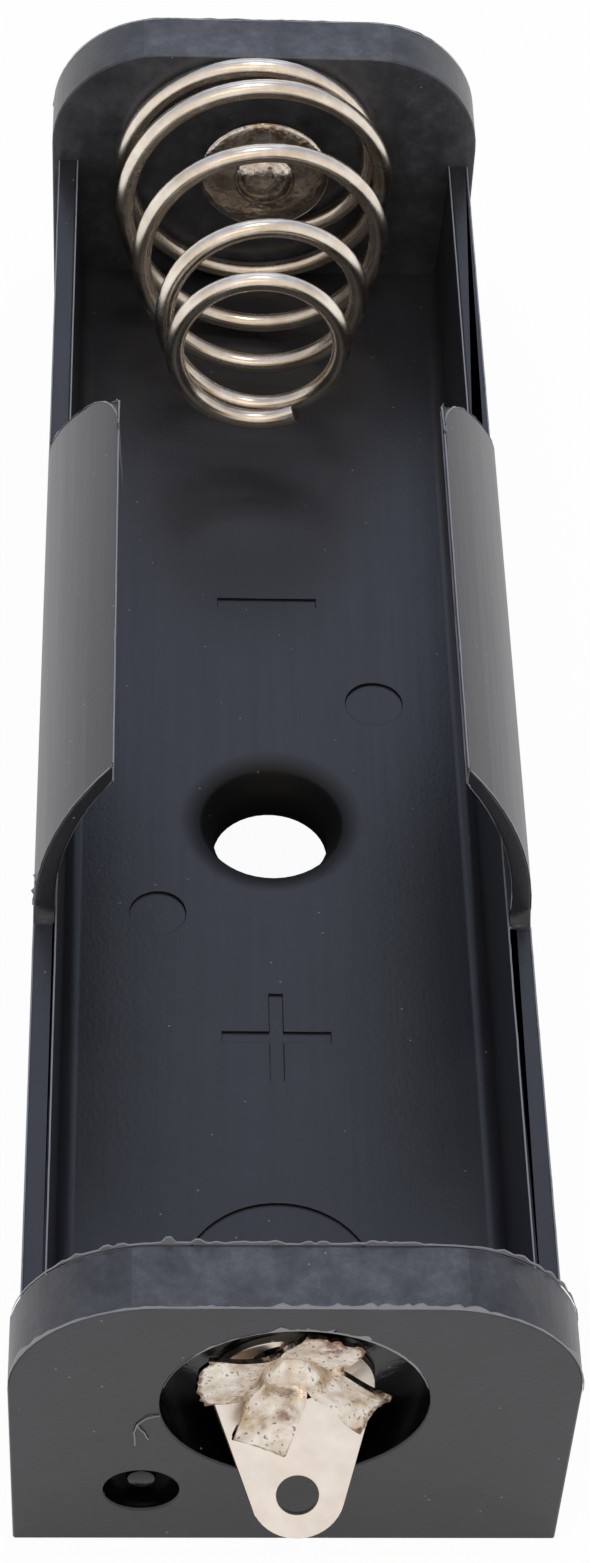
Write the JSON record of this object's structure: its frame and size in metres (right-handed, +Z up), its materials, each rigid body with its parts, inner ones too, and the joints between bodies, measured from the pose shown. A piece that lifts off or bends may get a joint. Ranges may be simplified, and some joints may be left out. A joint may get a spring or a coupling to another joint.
{
  "type": "cylindrical cell holder",
  "caption": "Open moulded tray for a cylindrical cell, with curled side clips, a conical wire spring, a domed rivet contact and solder lugs at the ends.",
  "frame": {"origin": "middle of the flat underside, half way between the outer tips of the solder lugs", "axes": "+Y along the cell towards the spring (negative) end, +Z up out of the open side, X across"},
  "size_m": [0.0164, 0.061, 0.0148],
  "materials": {
    "body_plastic": "black injection-moulded polypropylene, satin, with rubbed edges",
    "lug_metal": "tinned sheet, satin",
    "rivet_metal": "tinned brass tube, folded, with flux stains",
    "spring_wire": "nickel-plated spring wire, bright"
  },
  "bodies": {
    "holder": {"holder_body": "body_plastic", "positive_lug": "lug_metal", "positive_rivet": "rivet_metal", "negative_rivet": "rivet_metal", "negative_lug": "lug_metal"},
    "spring": {"negative_spring": "spring_wire"}
  },
  "joints": [
    {"name": "spring_press", "type": "slide", "parent": "holder", "child": "spring", "axis": [0, 1, 0], "range_m": [0, 0.0085], "stiffness_N_per_m": 400, "deforming": ["negative_spring"]}
  ]
}
